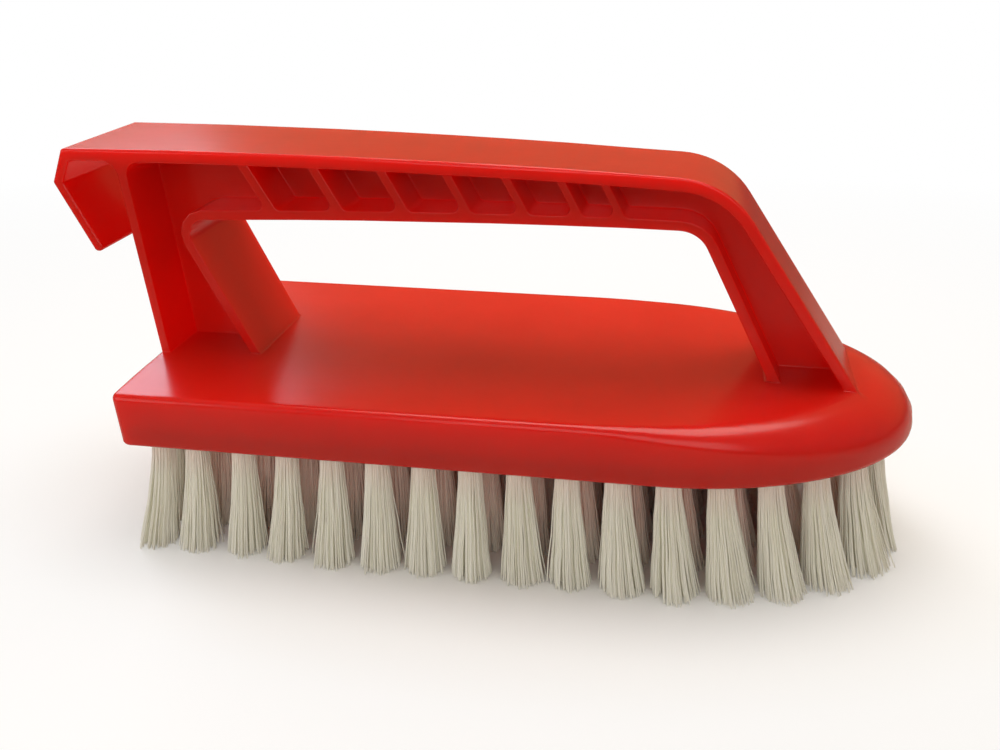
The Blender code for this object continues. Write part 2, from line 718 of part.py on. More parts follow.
def add_strand(bm, spot, angle, tip_height):
    """One strand of a tuft: a slim prism that widens to its flat tip."""
    direction = Vector((math.cos(angle), math.sin(angle)))
    foot = spot + direction * TUFT_FOOT_SPREAD
    tip = spot + direction * TUFT_TIP_SPREAD + lean_of(spot)
    root = BLOCK_BOTTOM + BACKING_DEPTH / 2
    made = bmesh.ops.create_cone(bm, cap_ends=True, segments=STRAND_SIDES, radius1=STRAND_TIP_RADIUS,
                                 radius2=STRAND_FOOT_RADIUS, depth=root - tip_height,
                                 matrix=Matrix.Rotation(angle - math.pi / 2, 4, "Z"))
    middle = (root + tip_height) / 2
    for vert in made["verts"]:
        end = foot if vert.co.z > 0 else tip
        vert.co += Vector((end.x, end.y, middle))


def make_slice(name, outline, tufts, material, parent, chance):
    """A slice of backing with the strands of its tufts, given as (place, first strand's way) pairs."""
    bm = plan_plate(outline, BLOCK_BOTTOM, BLOCK_BOTTOM + BACKING_DEPTH)
    item = make_object(name, bm, material, parent)
    strands = bmesh.new()
    for spot, way in tufts:
        for number in range(STRANDS_A_TUFT):
            tip_height = max(0.0, chance.random() * TIP_UNEVENNESS - TIP_CUT)
            add_strand(strands, spot, way + math.tau * number / STRANDS_A_TUFT, tip_height)
    combine(item, make_object(f"{name}_strands", strands, material, parent), "UNION")
    apply_steps(item)


def make_edge_slices(material, parent, chance):
    """The slices of the row that follows the block's outline."""
    path = edge_path()
    goals = edge_goals(path)
    for order, (low, high) in enumerate(slice_bounds(len(goals)), start=1):
        start = between(goals, low, 0.0, runs_along(path)[-1]) + GAP / 2 * (low > 0)
        end = between(goals, high, 0.0, runs_along(path)[-1]) - GAP / 2 * (high < len(goals))
        spots = [walk(path, goal) for goal in goals[low:high]]
        tufts = [(place, math.atan2(outward.y, outward.x)) for place, outward in spots]
        make_slice(f"edge_tufts_{order:02d}", edge_slice_outline(path, start, end), tufts, material, parent,
                   chance)


def make_row_slices(material, parent, chance):
    """The slices of the straight rows, from the near side to the far side."""
    path = edge_path()
    rear = RIM_WIDTH + GAP
    for row, number in enumerate(range(-INNER_ROWS_A_SIDE, INNER_ROWS_A_SIDE + 1), start=1):
        spots = row_places(path, number)
        places = [spot.x for spot in spots]
        for order, (low, high) in enumerate(slice_bounds(len(spots)), start=1):
            start = between(places, low, rear, rear) + GAP / 2 * (low > 0)
            end = between(places, high, rear, rear) - GAP / 2
            outline = row_slice_outline(path, number, start, end, high == len(spots))
            tufts = [(spot, chance.random() * math.tau) for spot in spots[low:high]]
            make_slice(f"row_{row}_tufts_{order}", outline, tufts, material, parent, chance)


def main():
    """Build the brush under one empty that puts its middle over the origin."""
    clear_scene()
    brush = bpy.data.objects.new("brush", None)
    bpy.context.scene.collection.objects.link(brush)
    brush.location = (-MIDDLE_X, 0, 0)
    red = make_material("red_plastic", RED, 0.22)
    ivory = make_material("ivory_bristle", IVORY, 0.45)
    make_body(red, brush)
    chance = random.Random(STRAND_SEED)
    make_edge_slices(ivory, brush, chance)
    make_row_slices(ivory, brush, chance)


main()
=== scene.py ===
# %% [markdown]
# # A tile brush in Blender
#
# The brush is one red moulding (block, looped handle and hanging hook) with 103 tufts of ivory nylon
# bristle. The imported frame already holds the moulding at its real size, so this lesson loads it, sets the
# camera, finishes the plastic, and grows every tuft as a bundle of separate filaments.

import math
import random

import bmesh
import bpy
from mathutils import Matrix, Vector


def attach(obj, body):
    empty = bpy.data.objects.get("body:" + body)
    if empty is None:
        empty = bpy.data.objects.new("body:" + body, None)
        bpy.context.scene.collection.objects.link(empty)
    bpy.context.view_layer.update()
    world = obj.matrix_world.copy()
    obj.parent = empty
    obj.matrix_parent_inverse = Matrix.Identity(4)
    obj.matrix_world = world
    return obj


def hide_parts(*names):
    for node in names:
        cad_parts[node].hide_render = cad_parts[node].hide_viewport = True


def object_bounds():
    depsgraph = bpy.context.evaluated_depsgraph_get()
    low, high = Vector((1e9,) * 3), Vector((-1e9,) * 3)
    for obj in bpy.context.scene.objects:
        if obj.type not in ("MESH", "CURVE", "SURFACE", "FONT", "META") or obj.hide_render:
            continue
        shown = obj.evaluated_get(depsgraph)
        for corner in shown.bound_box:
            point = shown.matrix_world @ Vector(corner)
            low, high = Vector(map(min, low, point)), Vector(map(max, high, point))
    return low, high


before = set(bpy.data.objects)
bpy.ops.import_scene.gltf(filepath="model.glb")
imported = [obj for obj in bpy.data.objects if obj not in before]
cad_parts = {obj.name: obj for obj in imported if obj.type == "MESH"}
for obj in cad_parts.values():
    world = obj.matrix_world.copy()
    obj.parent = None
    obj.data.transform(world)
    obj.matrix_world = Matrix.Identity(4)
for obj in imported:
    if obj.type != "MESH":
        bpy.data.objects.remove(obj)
cad_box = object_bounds()
print("nodes in the frame:", len(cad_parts))
print("size of the brush in mm:", [round((high - low) * 1000, 1) for low, high in zip(*cad_box)])

# %% [markdown]
# ## Sizes that the bristles follow
#
# The block is a little wider at its square rear than where its round nose starts. Seven lines of tufts fill
# its underside: the edge row follows the outline, and so makes two of them, and five rows run straight
# inside it. The values below are the block's and the rows' own, in metres, measured from the block's rear
# face. The frame's own zero lies under the middle of the whole brush, MIDDLE_X in front of that face.

# %% Sizes of the block and its rows
MIDDLE_X = 0.07101
BLOCK_LENGTH = 0.1574
BLOCK_WIDTH_REAR = 0.0668
BLOCK_WIDTH_FRONT = 0.0638
NOSE_LENGTH = 0.0500
NOSE_RIM_EXTRA = 0.0020
BLOCK_BOTTOM = 0.0257
EDGE_ROW_INSET = 0.0051
ROW_REAR = 0.0025
FIRST_TUFT = 0.0057
TUFT_PITCH = 0.0096
TUFT_CLEAR = 0.0072
INNER_ROWS_A_SIDE = 2
TUFTS_A_PIECE = 4
NOSE_STEPS = 26
NOSE_START = BLOCK_LENGTH - NOSE_LENGTH
NOSE_ROW_END = BLOCK_LENGTH - NOSE_RIM_EXTRA - EDGE_ROW_INSET
print("the nose starts and the edge row ends at, in mm:", round(NOSE_START * 1000, 1),
      round(NOSE_ROW_END * 1000, 1))

# %% [markdown]
# ## Camera
#
# The photograph looks down at the brush's long side from close by, turned a little towards the hook. The
# focal length is short for so near a view, which makes the near tufts larger than the far ones. Light may
# bounce more often than by default, because among pale bristles it would otherwise die out too soon.

# %% Camera
SENSOR_WIDTH = 36
FOCAL_LENGTH = 32.56
NEAREST_SEEN = 0.01
CAMERA_FROM_REAR = 0.11208
CAMERA_ASIDE = 0.1725
CAMERA_HEIGHT = 0.1196
CAMERA_TURNS = (63.293, 1.839, 11.891)
LIGHT_BOUNCES = 24


def put_in_scene(name, data):
    """An object in the scene that shows a mesh, a lamp or a camera."""
    item = bpy.data.objects.new(name, data)
    bpy.context.scene.collection.objects.link(item)
    return item


camera_data = bpy.data.cameras.new("camera")
camera_data.sensor_width = SENSOR_WIDTH
camera_data.lens = FOCAL_LENGTH
camera_data.clip_start = NEAREST_SEEN
camera = put_in_scene("camera", camera_data)
camera.location = (CAMERA_FROM_REAR - MIDDLE_X, -CAMERA_ASIDE, CAMERA_HEIGHT)
camera.rotation_euler = [math.radians(angle) for angle in CAMERA_TURNS]
bpy.context.scene.camera = camera
bpy.context.scene.view_settings.view_transform = "Standard"
bpy.context.scene.cycles.diffuse_bounces = LIGHT_BOUNCES
bpy.context.scene.cycles.max_bounces = LIGHT_BOUNCES
print("camera in mm:", [round(value * 1000) for value in camera.location], "lens:", FOCAL_LENGTH)

# %% [markdown]
# ## Helpers for materials
#
# Every finish is a node material. A short helper adds a node, and another fills its inputs with values or
# with other nodes' sockets, so that each material below reads from top to bottom. A Mix node keeps sockets
# for numbers, vectors and colours side by side under the same names, so its colours go by number.

# %% Node helpers
MIX_FIRST_COLOUR = 6
MIX_SECOND_COLOUR = 7
MIX_COLOUR_RESULT = 2


def feed(tree, node, inputs):
    """Fill a node's inputs with plain values or with the sockets that lead into them."""
    for name, value in inputs.items():
        if isinstance(value, bpy.types.NodeSocket):
            tree.links.new(value, node.inputs[name])
        else:
            node.inputs[name].default_value = value


def add_node(tree, kind, inputs=None, **settings):
    """Add a node; inputs holds values or the sockets that feed it."""
    node = tree.nodes.new(kind)
    for name, value in settings.items():
        setattr(node, name, value)
    feed(tree, node, inputs or {})
    return node


def new_material(name):
    """An empty node material with its Principled shader."""
    material = bpy.data.materials.new(name)
    material.use_nodes = True
    return material, material.node_tree, material.node_tree.nodes["Principled BSDF"]


# %% Node helpers for patterns and colours


def object_place(tree):
    """The place of a point on the object, in metres."""
    return add_node(tree, "ShaderNodeTexCoord").outputs["Object"]


def noise(tree, place, scale, detail=2.0, roughness=0.5):
    """A cloudy pattern of numbers between 0 and 1."""
    inputs = {"Vector": place, "Scale": scale, "Detail": detail, "Roughness": roughness}
    return add_node(tree, "ShaderNodeTexNoise", inputs).outputs["Fac"]


def ramp(tree, factor, stops):
    """A colour ramp through (place, colour) stops; a number stands for a grey."""
    node = add_node(tree, "ShaderNodeValToRGB", {"Fac": factor})
    elements = node.color_ramp.elements
    while len(elements) < len(stops):
        elements.new(0.5)
    for element, (place, colour) in zip(elements, stops):
        element.position = place
        element.color = (colour, colour, colour, 1) if isinstance(colour, float) else (*colour, 1)
    return node.outputs["Color"]


def blend(tree, factor, first, second):
    """A colour between two others: factor 0 gives the first and 1 the second."""
    inputs = {"Factor": factor, MIX_FIRST_COLOUR: first, MIX_SECOND_COLOUR: second}
    return add_node(tree, "ShaderNodeMix", inputs, data_type="RGBA").outputs[MIX_COLOUR_RESULT]


# %% [markdown]
# ## Red plastic
#
# The moulding is glossy polypropylene: a saturated red that lets a little light in, so thin ribs and edges
# glow. Its surface is glossy but no mirror: a mould leaves a faint orange peel, and handling leaves fine
# scuffs along the brush that blur the gloss in patches. Noise in Object coordinates gives both at a real
# scale: with a scale of 420 its clouds are about a 420th of a metre across, some two millimetres. Larger
# clouds let the tint vary a little.

# %% Red plastic
TINT_SCALE = 38.0
SCUFF_SCALES = (60.0, 420.0, 420.0)
PEEL_SCALE = 420.0
PEEL_DEPTH = 0.0004
DEEP_RED = (0.64, 0.0105, 0.0060)
BRIGHT_RED = (0.72, 0.0145, 0.0080)
GLOW_SCALE = 0.020
GLOW_REACH = (1.0, 0.06, 0.04)

plastic, tree, shader = new_material("glossy_red_plastic")
place = object_place(tree)
stretched = add_node(tree, "ShaderNodeMapping", {"Vector": place, "Scale": SCUFF_SCALES}).outputs["Vector"]
scuffs = noise(tree, stretched, 1.0, detail=3.0, roughness=0.62)
peel = noise(tree, place, PEEL_SCALE)
clouds = noise(tree, place, TINT_SCALE, detail=3.0)
bump = add_node(tree, "ShaderNodeBump", {"Height": peel, "Strength": 0.05, "Distance": PEEL_DEPTH})
feed(tree, shader, {
    "Base Color": ramp(tree, clouds, [(0.25, DEEP_RED), (0.75, BRIGHT_RED)]),
    "Roughness": ramp(tree, scuffs, [(0.42, 0.21), (0.62, 0.23), (0.80, 0.27)]),
    "Normal": bump.outputs["Normal"],
    "IOR": 1.5,
    "Specular IOR Level": 0.42,
    "Subsurface Weight": 1.0,
    "Subsurface Radius": GLOW_REACH,
    "Subsurface Scale": GLOW_SCALE,
})
print("nodes of", plastic.name, len(tree.nodes))

# %% [markdown]
# ## The moulding
#
# The frame's moulding has the right shape, but its triangles are loose, so each one would shade flat, and
# its ribs and walls end in knife edges that no mould can fill. So a copy is merged, its flat faces are made
# whole again, and the sharp edges get a small round.
#
# A round that needs more room than the face beside it has folds over itself, and shows as a dark line. So
# steps narrower than an eighth of a millimetre are merged away first. And only edges steeper than 46 degrees
# are rounded, because the rims have narrow facets of their own that meet at less. Smooth shading alone would
# bend the light on the flat faces too, and a Weighted Normal modifier, which lets the largest faces decide,
# keeps them flat.

# %% The moulding
MERGE_DISTANCE = 0.00002
STEP_DISTANCE = 0.00012
FLAT_ANGLE = math.radians(0.5)
EDGE_ANGLE = math.radians(46)
EDGE_ROUND = 0.00025
LARGEST_FACE_DECIDES = 100

bm = bmesh.new()
bm.from_mesh(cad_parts["brush_body"].data)
for distance in (MERGE_DISTANCE, STEP_DISTANCE):
    bmesh.ops.remove_doubles(bm, verts=bm.verts, dist=distance)
    bmesh.ops.dissolve_limit(bm, angle_limit=FLAT_ANGLE, verts=bm.verts, edges=bm.edges)
edges = [edge for edge in bm.edges if edge.is_manifold and edge.calc_face_angle() > EDGE_ANGLE]
bmesh.ops.bevel(bm, geom=edges, offset=EDGE_ROUND, segments=2, profile=0.5, affect="EDGES", material=-1)
mesh = bpy.data.meshes.new("moulding")
bm.to_mesh(mesh)
print("edges rounded:", len(edges), "faces of the moulding:", len(mesh.polygons),
      "open edges:", sum(not edge.is_manifold for edge in bm.edges))
bm.free()

# %% Shading and place of the moulding
mesh.materials.append(plastic)
mesh.shade_smooth()
mesh.set_sharp_from_angle(angle=EDGE_ANGLE)
moulding = put_in_scene("moulding", mesh)
flats = moulding.modifiers.new("flats", "WEIGHTED_NORMAL")
flats.mode = "FACE_AREA"
flats.weight = LARGEST_FACE_DECIDES
flats.keep_sharp = True
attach(moulding, "root")
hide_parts("brush_body")
print("the moulding stands in for brush_body")

# %% [markdown]
# ## Ivory nylon
#
# Nylon filament is pale and slightly see-through, so light goes from strand to strand many times before it
# comes out again. A satin finish in very pale colours gives that look once the light may bounce often, and
# renders sooner than strands that really let light through. Each filament carries three numbers of its own
# as attributes: a shade, so that no two neighbours match exactly; how far along it a point lies, because the
# feet are painted warmer than the cut tips, for the red light that the block bounces onto them; and whether
# it stands inside the brush, behind the outer tufts, where the ivory is painted pink for the red block's
# bounce light.

# %% Ivory nylon
# Painted red bounce light: both ramps make the feet pinker for the light the red block bounces onto them.
LIGHT_STRAND = [(0.0, (0.95, 0.86, 0.80)), (0.35, (0.97, 0.97, 0.89)), (1.0, (0.96, 0.96, 0.89))]
DARK_STRAND = [(0.0, (0.92, 0.83, 0.76)), (0.35, (0.95, 0.945, 0.86)), (1.0, (0.92, 0.91, 0.84))]
# Painted red bounce light: the inner tufts are drawn pink, most at their feet, for the light the red block
# bounces onto them.
PAINTED_BOUNCE_STRAND = [(0.0, (0.98, 0.74, 0.66)), (0.55, (0.98, 0.84, 0.76)), (1.0, (0.96, 0.93, 0.86))]
GRAIN_SCALE = 900.0

nylon, tree, shader = new_material("ivory_nylon")
shade = add_node(tree, "ShaderNodeAttribute", attribute_name="strand_shade").outputs["Fac"]
along = add_node(tree, "ShaderNodeAttribute", attribute_name="strand_run").outputs["Fac"]
# This attribute is 1 on the tufts that get the painted pink of the red block's bounce light.
painted_bounce = add_node(tree, "ShaderNodeAttribute", attribute_name="strand_painted_bounce").outputs["Fac"]
outer = blend(tree, shade, ramp(tree, along, DARK_STRAND), ramp(tree, along, LIGHT_STRAND))
grain = noise(tree, object_place(tree), GRAIN_SCALE)
feed(tree, shader, {
    "Base Color": blend(tree, painted_bounce, outer, ramp(tree, along, PAINTED_BOUNCE_STRAND)),
    "Roughness": ramp(tree, grain, [(0.3, 0.32), (0.7, 0.5)]),
    "IOR": 1.53,
})
print("nodes of", nylon.name, len(tree.nodes))

# %% [markdown]
# ## Where the tufts stand
#
# The edge row follows the block's outline as one line of holes. The inner rows run straight, and their
# holes stand in line across the brush: through a gap between two near tufts the photograph shows the next
# row's tuft at the same place in every gap. Rows shifted by half a pitch would close the gaps.

# %% The edge row's line


def half_width(x):
    """Half of the block's width at a place along it."""
    share = min(x / NOSE_START, 1.0)
    return (BLOCK_WIDTH_REAR + (BLOCK_WIDTH_FRONT - BLOCK_WIDTH_REAR) * share) / 2


def edge_path():
    """Line of the edge row, as (place, outward direction) pairs."""
    half = half_width(NOSE_START) - EDGE_ROW_INSET
    nose = NOSE_ROW_END - NOSE_START
    rear_half = half_width(ROW_REAR) - EDGE_ROW_INSET
    pairs = [(Vector((ROW_REAR, -rear_half)), Vector((0, -1)))]
    for step in range(NOSE_STEPS * 2 + 1):
        angle = math.pi / 2 * (step / NOSE_STEPS - 1)
        spot = Vector((NOSE_START + nose * math.cos(angle), half * math.sin(angle)))
        pairs.append((spot, Vector((half * math.cos(angle), nose * math.sin(angle))).normalized()))
    pairs.append((Vector((ROW_REAR, rear_half)), Vector((0, 1))))
    return pairs


path = edge_path()
runs = [0.0]
for (before, _), (after, _) in zip(path[:-1], path[1:]):
    runs.append(runs[-1] + (after - before).length)
print("length of the edge row in mm:", round(runs[-1] * 1000, 1))


# %% Places in the edge row


def walk(goal):
    """Place at a distance along the edge row."""
    index = max(number for number, run in enumerate(runs[:-1]) if run <= goal)
    share = (goal - runs[index]) / (runs[index + 1] - runs[index])
    return path[index][0].lerp(path[index + 1][0], share)


def edge_spots():
    """Places of the edge row's tufts."""
    start = FIRST_TUFT - ROW_REAR
    length = runs[-1] - start * 2
    spaces = round((length / TUFT_PITCH - 1) / 2) * 2 + 1
    return [walk(start + length * number / spaces) for number in range(spaces + 1)]


print("tufts in the edge row:", len(edge_spots()))

# %% Places in the inner rows


def row_end(y):
    """Last place along the brush where an inner row may hold a tuft."""
    moved = [spot - outward * TUFT_CLEAR for spot, outward in path]
    for before, after in zip(moved[1:-2], moved[2:-1]):
        if before.y <= y <= after.y:
            return before.lerp(after, (y - before.y) / (after.y - before.y)).x
    return moved[1].x


def row_pitch(x):
    """Distance between the rows."""
    return (half_width(x) - EDGE_ROW_INSET) / (INNER_ROWS_A_SIDE + 1)


def row_spots(number):
    """Places of an inner row's tufts; the middle row is number zero."""
    count = int((row_end(number * row_pitch(NOSE_START)) - FIRST_TUFT) / TUFT_PITCH) + 1
    places = [FIRST_TUFT + TUFT_PITCH * step for step in range(count)]
    return [Vector((x, number * row_pitch(x))) for x in places]


inner_rows = range(-INNER_ROWS_A_SIDE, INNER_ROWS_A_SIDE + 1)
print("tufts in the inner rows:", [len(row_spots(number)) for number in inner_rows])

# %% [markdown]
# ## Tufts shared out among the pieces
#
# In the frame, three or four neighbouring tufts of a row make one piece. The filaments are grouped in the
# same way and under the same names, so that each group stands in for its own piece.

# %% Groups of tufts


def shared_out(spots):
    """Neighbouring tufts in groups of like size, one group to a piece."""
    groups = math.ceil(len(spots) / TUFTS_A_PIECE)
    bounds = [round(len(spots) * step / groups) for step in range(groups + 1)]
    return [spots[low:high] for low, high in zip(bounds[:-1], bounds[1:])]


tuft_groups = {}
for order, group in enumerate(shared_out(edge_spots()), start=1):
    tuft_groups[f"edge_tufts_{order:02d}"] = group
for row, number in enumerate(inner_rows, start=1):
    for order, group in enumerate(shared_out(row_spots(number)), start=1):
        tuft_groups[f"row_{row}_tufts_{order}"] = group
print("tufts:", sum(len(group) for group in tuft_groups.values()), "in", len(tuft_groups), "pieces")

# %% [markdown]
# ## One filament, many times
#
# A filament is a slim four-sided prism with a few rings, made once as a pattern. A round one would need more
# faces than anybody sees at this size. A particle system could grow the tufts too, but it leaves hair, and
# hair isn't solid. The pattern stands upright and is one unit high: its top becomes the foot in the hole.

# %% Filament pattern
FILAMENT_RADIUS = 0.00014
FILAMENT_SIDES = 4
FILAMENT_RINGS = 5
FILAMENTS_A_TUFT = 260

pattern = bmesh.new()
bmesh.ops.create_cone(pattern, cap_ends=True, segments=FILAMENT_SIDES, radius1=FILAMENT_RADIUS,
                      radius2=FILAMENT_RADIUS, depth=1.0, matrix=Matrix.Translation((0, 0, 0.5)))
long_edges = [edge for edge in pattern.edges if abs(edge.verts[0].co.z - edge.verts[1].co.z) > 0.5]
bmesh.ops.subdivide_edges(pattern, edges=long_edges, cuts=FILAMENT_RINGS - 1)
filament = bpy.data.meshes.new("filament")
pattern.to_mesh(filament)
pattern.free()
print("faces of a filament:", len(filament.polygons))

# %% [markdown]
# ## Bending a filament
#
# Every copy of the pattern is bent from its foot to its tip: straight at first, then fanning out, with the
# slight crimp that keeps bristles apart. A wave of about two lengths to a filament, turned another way on
# each one, gives the crimp.

# %% Bending a filament
CRIMP = 0.00010
CRIMP_WAVES = 2.2
FAN_POWER = 1.25


def bend(verts, foot, tip, turn, wave):
    """Lay one upright filament, whose height is 0 to 1, along its way from foot to tip."""
    drop = tip - foot
    side = Vector((math.cos(wave), math.sin(wave), 0)) * CRIMP
    for vert in verts:
        share = 1 - vert.co.z
        outward = share ** FAN_POWER
        middle = Vector((foot.x + drop.x * outward, foot.y + drop.y * outward, foot.z + drop.z * share))
        middle += side * math.sin(share * math.tau * CRIMP_WAVES + wave)
        x = vert.co.x * math.cos(turn) - vert.co.y * math.sin(turn)
        y = vert.co.x * math.sin(turn) + vert.co.y * math.cos(turn)
        vert.co = middle + Vector((x, y, 0))


print("height of the crimp in mm:", CRIMP * 1000)

# %% [markdown]
# ## How the tufts lean
#
# The tufts fan out from the middle of the brush: those near the nose lean forwards and those near the rear
# lean backwards, the more the nearer they are to the end, and all lean a little outwards. The nose's tufts
# also spread a little wider. In the photograph the edge row's two rear tufts grow from holes that stand
# closer together than the others, so the first hole moves forwards and the second one back.

# %% How the tufts lean
UPRIGHT_TUFT = 0.0780
NOSE_LEAN = 0.0060
REAR_LEAN = 0.0044
SIDE_LEAN = 0.0024
FIRST_HOLE_SHIFT = 0.0012
SECOND_HOLE_SHIFT = -0.0008
AFTER_FIRST_TUFT = FIRST_TUFT + TUFT_PITCH / 2
AFTER_SECOND_TUFT = FIRST_TUFT + TUFT_PITCH * 1.5


def nose_share(spot):
    """Zero up to the upright tufts, and then more towards the nose, where it is one."""
    return max(0.0, (spot.x - UPRIGHT_TUFT) / (NOSE_ROW_END - UPRIGHT_TUFT))


def lean_of(spot):
    """How far a tuft's tips lie outside its foot."""
    onward = nose_share(spot) * NOSE_LEAN
    backward = max(0.0, 1 - spot.x / UPRIGHT_TUFT) * REAR_LEAN
    return Vector((onward - backward, spot.y / half_width(spot.x) * SIDE_LEAN))


def rear_shift(spot):
    """How far the edge row's two rear holes lie off the even spacing: they stand closer together."""
    if spot.x < AFTER_FIRST_TUFT:
        return FIRST_HOLE_SHIFT
    if spot.x < AFTER_SECOND_TUFT:
        return SECOND_HOLE_SHIFT
    return 0.0


print("lean at the nose in mm:", round(lean_of(walk(runs[-1] / 2)).x * 1000, 1))

# %% [markdown]
# ## One tuft
#
# A tuft's filaments stand evenly over a round hole, and each tip is drawn towards the nearest of a few
# clumps, as damp and use leave them. The tips are cut level but never quite, and a few filaments stray.
# Chance settles the rest, from one fixed start, so that every run grows the same brush. The tips are kept
# within the solids' box. The first tuft of an inner row shows from behind, so it keeps the outer colours and
# not the painted pink of the red block's bounce light.

# %% Sizes of one tuft
HOLE_DEPTH = 0.0012
FOOT_SPREAD = 0.0021
INNER_FOOT_SPREAD = 0.0026
TIP_SPREAD = 0.0043
NOSE_SPREAD = 0.14
SMALLEST_TUFT = 0.94
LARGEST_TUFT = 1.05
TUFT_SWAY = 0.0005
CLUMPS = 16
CLUMPING = 0.14
LOOSENESS = 0.14
TIP_RISE = 0.0008
TIP_MARGIN = 0.0005
STRAY_SHARE = 0.03
STRAY_REACH = 0.0012
GOLDEN_ANGLE = math.pi * (3 - math.sqrt(5))
chance = random.Random(11)
print("filaments in a tuft:", FILAMENTS_A_TUFT, "in", CLUMPS, "clumps")

# %% Chance, spread and limit of the tips


def strayed(reach):
    """A small step in any direction, by chance."""
    return Vector((chance.uniform(-1, 1), chance.uniform(-1, 1))) * reach


def disc_point(number, count):
    """One of a count of points spread evenly over a disc of radius one."""
    angle = number * GOLDEN_ANGLE
    return Vector((math.cos(angle), math.sin(angle))) * math.sqrt((number + 0.5) / count)


def kept_inside(tip):
    """A tip's place, moved within the solids' box."""
    low, high = cad_box
    x = min(max(tip.x, low[0] + MIDDLE_X + TIP_MARGIN), high[0] + MIDDLE_X - TIP_MARGIN)
    y = min(max(tip.y, low[1] + TIP_MARGIN), high[1] - TIP_MARGIN)
    return Vector((x, y))


# %% Growing one tuft


def grow_tuft(bm, spot, in_edge, notes):
    """Add a tuft's filaments to a mesh, and note each point's shade, run and painted red bounce light."""
    # Tufts inside the brush get the painted pink of red bounce light; the first tuft of each inner row does
    # not.
    painted_pink = not in_edge and spot.x > AFTER_FIRST_TUFT
    lean = lean_of(spot) + strayed(TUFT_SWAY)
    turn = Matrix.Rotation(chance.uniform(0, math.tau), 2)
    wide = TIP_SPREAD * chance.uniform(SMALLEST_TUFT, LARGEST_TUFT) * (1 + NOSE_SPREAD * nose_share(spot))
    hole = spot + Vector((rear_shift(spot) if in_edge else 0.0, 0.0))
    clumps = [turn @ disc_point(number, CLUMPS) for number in range(CLUMPS)]
    for number in range(FILAMENTS_A_TUFT):
        at = disc_point(number, FILAMENTS_A_TUFT)
        foot = hole + at * (FOOT_SPREAD if in_edge else INNER_FOOT_SPREAD)
        at += strayed(LOOSENESS)
        clump = min(clumps, key=lambda middle: (middle - at).length)
        tip = spot + lean + at.lerp(clump, CLUMPING) * wide
        if chance.random() < STRAY_SHARE:
            tip += strayed(STRAY_REACH)
        tip = kept_inside(tip)
        before = len(bm.verts)
        bm.from_mesh(filament)
        bm.verts.ensure_lookup_table()
        verts = bm.verts[before:]
        shade = chance.random()
        for vert in verts:
            notes["strand_shade"].append(shade)
            notes["strand_run"].append(1 - vert.co.z)
            notes["strand_painted_bounce"].append(float(painted_pink))
        rise = chance.random() ** 2 * TIP_RISE
        bend(verts, Vector((foot.x - MIDDLE_X, foot.y, BLOCK_BOTTOM + HOLE_DEPTH)),
             Vector((tip.x - MIDDLE_X, tip.y, rise)),
             chance.uniform(0, math.tau), chance.uniform(0, math.tau))


# %% All tufts
total = 0
for name, group in tuft_groups.items():
    bm = bmesh.new()
    notes = {"strand_shade": [], "strand_run": [], "strand_painted_bounce": []}
    for spot in group:
        grow_tuft(bm, spot, name.startswith("edge"), notes)
    mesh = bpy.data.meshes.new(f"{name}_filaments")
    bm.to_mesh(mesh)
    bm.free()
    for label, values in notes.items():
        mesh.attributes.new(label, "FLOAT", "POINT").data.foreach_set("value", values)
    mesh.materials.append(nylon)
    piece = put_in_scene(f"{name}_filaments", mesh)
    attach(piece, "root")
    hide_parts(name)
    total += len(mesh.polygons)
print("faces of all filaments:", total)

# %% [markdown]
# ## Floor
#
# The floor is plain and pale. To the camera it is white, and it fades into the white backdrop with distance
# while it keeps the brush's shadow near the middle. For the light that it sends back to the brush it is a
# mid beige that gets darker further out, which keeps the block's side darker than its top. Where the
# gloss mirrors it, a twentieth of the white glow is left.

# %% Light path helpers


def calculate(tree, operation, first, second):
    """A sum, product or comparison of two numbers."""
    return add_node(tree, "ShaderNodeMath", {0: first, 1: second}, operation=operation).outputs[0]


def seen_by_camera(tree, rays):
    """One for rays from the camera, also through clear things, and zero for all others."""
    return calculate(tree, "MAXIMUM", rays.outputs["Is Camera Ray"], rays.outputs["Is Transmission Ray"])


def chosen_shader(tree, factor, first, second):
    """A shader between two others: factor 0 gives the first and 1 the second."""
    return add_node(tree, "ShaderNodeMixShader", {0: factor, 1: first, 2: second}).outputs[0]


# %% Floor
FLOOR_SIZE = 4.0
FLOOR_STRETCH = (1.0, 2.0, 1.0)
FADE_TO_WHITE = [(0.07, 0.0), (0.13, 0.62), (0.60, 1.0)]
FLOOR_FOR_LIGHT = [(0.12, (0.60, 0.54, 0.47)), (0.22, (0.50, 0.43, 0.37)), (0.50, (0.16, 0.10, 0.05))]
FLOOR_FOR_CAMERA = (0.97, 0.97, 0.97, 1)
MIRRORED_SHARE = 0.05
WHITE = (1, 1, 1, 1)

floor_mesh = bpy.data.meshes.new("floor")
bm = bmesh.new()
bmesh.ops.create_grid(bm, x_segments=1, y_segments=1, size=FLOOR_SIZE)
bm.to_mesh(floor_mesh)
bm.free()
floor = put_in_scene("floor", floor_mesh)
pale, tree, shader = new_material("pale_floor")
rays = add_node(tree, "ShaderNodeLightPath")
seen = seen_by_camera(tree, rays)
mirrored = calculate(tree, "MULTIPLY", rays.outputs["Is Glossy Ray"], MIRRORED_SHARE)
stretched = add_node(tree, "ShaderNodeMapping", {"Vector": object_place(tree), "Scale": FLOOR_STRETCH})
distance = add_node(tree, "ShaderNodeVectorMath", {0: stretched.outputs["Vector"]}, operation="LENGTH")
away = distance.outputs["Value"]
feed(tree, shader, {
    "Base Color": blend(tree, seen, ramp(tree, away, FLOOR_FOR_LIGHT), FLOOR_FOR_CAMERA),
    "Roughness": 1.0,
    "Specular IOR Level": 0.0,
})
glow = add_node(tree, "ShaderNodeEmission", {"Color": WHITE, "Strength": 1.0})
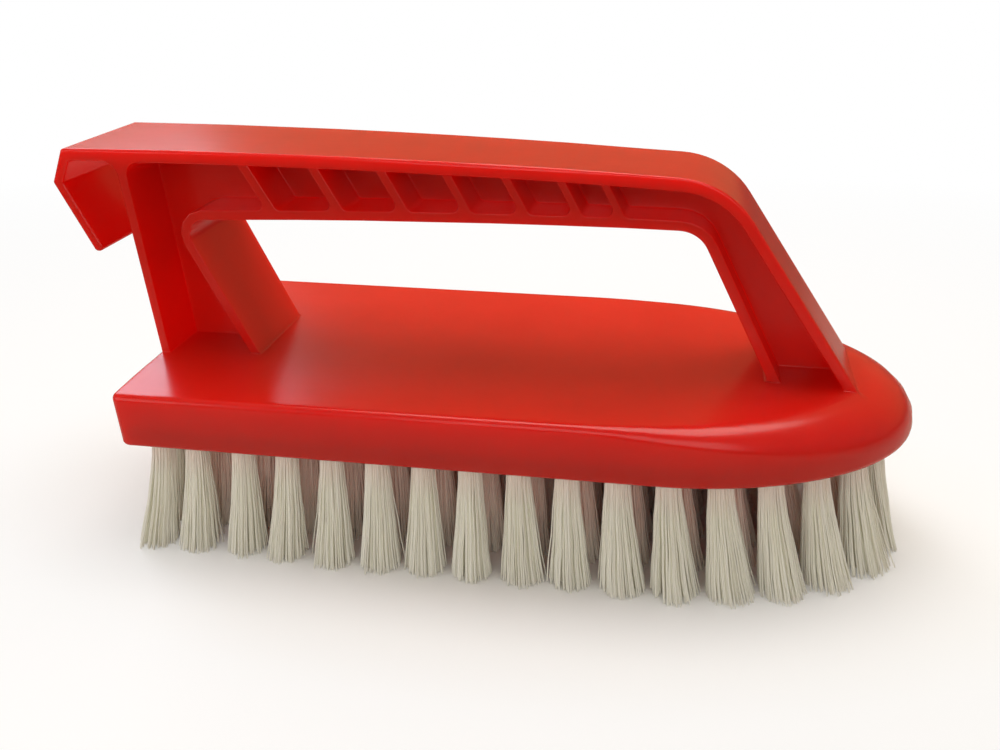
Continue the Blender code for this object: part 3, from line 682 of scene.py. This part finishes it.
white_share = calculate(tree, "MULTIPLY", calculate(tree, "MAXIMUM", seen, mirrored),
                        ramp(tree, away, FADE_TO_WHITE))
surface = chosen_shader(tree, white_share, shader.outputs[0], glow.outputs[0])
feed(tree, tree.nodes["Material Output"], {"Surface": surface})
floor_mesh.materials.append(pale)
print("nodes of", pale.name, len(tree.nodes))

# %% [markdown]
# ## Lamps
#
# The light is a soft room. A lamp overhead, a little behind the handle, lays the handle's soft shadow on the
# near half of the block. A cool window low behind the hook gives the pink sheen on the handle's tail and on
# the block's corner. Two weak lamps in front reach into the pockets and between the tufts. An area lamp is
# given by its brightness, and its power follows from its size, so that a lamp can grow softer and keep its
# look in the gloss.

# %% Lamps
LAMPS_FACE = Vector((0, 0, 0.04))


def direction_of(azimuth, elevation):
    """Unit vector towards a place in the room; azimuth is counted from +Y towards -X, in degrees."""
    turn, rise = math.radians(azimuth), math.radians(elevation)
    return Vector((-math.sin(turn) * math.cos(rise), math.cos(turn) * math.cos(rise), math.sin(rise)))


def soft_lamp(name, azimuth, elevation, distance, width, height, brightness, colour):
    """A rectangular area lamp in the room that faces the brush, of a given brightness."""
    lamp = bpy.data.lights.new(name, "AREA")
    lamp.shape = "RECTANGLE"
    lamp.size, lamp.size_y = width, height
    lamp.energy = brightness * math.pi * width * height
    lamp.color = colour
    item = put_in_scene(name, lamp)
    way = direction_of(azimuth, elevation)
    item.location = way * distance + LAMPS_FACE
    item.rotation_euler = way.to_track_quat("Z", "Y").to_euler()
    item.visible_camera = False
    print(f"lamp {name}: {lamp.energy:.2f} W")


soft_lamp("window", azimuth=47, elevation=31, distance=1.2, width=0.62, height=0.55,
          brightness=3.7, colour=(0.78, 0.84, 1.0))
soft_lamp("ceiling", azimuth=-20, elevation=78, distance=0.40, width=0.38, height=0.32,
          brightness=3.7, colour=(1.0, 0.96, 0.90))
soft_lamp("front", azimuth=130, elevation=15, distance=0.6, width=0.35, height=0.3,
          brightness=1.5, colour=(1.0, 0.985, 0.94))
soft_lamp("fill", azimuth=188, elevation=22, distance=0.8, width=0.7, height=0.5,
          brightness=1.35, colour=(1.0, 0.99, 0.95))

# %% [markdown]
# ## Walls
#
# The world stands for the room's walls: grey on the camera's side and a warm brown behind the brush. That
# gives every side some light and the gloss something to mirror. To the camera the world is plain white, of
# strength 1, and that sends no light to the brush.

# %% World
WALLS = [(0.0, (0.22, 0.21, 0.20)), (0.5, (0.28, 0.26, 0.23)), (0.78, (0.38, 0.28, 0.14)),
         (1.0, (0.36, 0.25, 0.12))]

world = bpy.data.worlds.new("room")
world.use_nodes = True
tree = world.node_tree
room = tree.nodes["Background"]
way = add_node(tree, "ShaderNodeTexCoord").outputs["Generated"]
behind = add_node(tree, "ShaderNodeSeparateXYZ", {"Vector": way}).outputs["Y"]
share = add_node(tree, "ShaderNodeMapRange", {"Value": behind, "From Min": -1.0, "From Max": 1.0})
feed(tree, room, {"Color": ramp(tree, share.outputs["Result"], WALLS)})
white = add_node(tree, "ShaderNodeBackground", {"Color": WHITE, "Strength": 1.0})
seen = seen_by_camera(tree, add_node(tree, "ShaderNodeLightPath"))
surface = chosen_shader(tree, seen, room.outputs[0], white.outputs[0])
feed(tree, tree.nodes["World Output"], {"Surface": surface})
bpy.context.scene.world = world
print("nodes of the world:", len(tree.nodes))
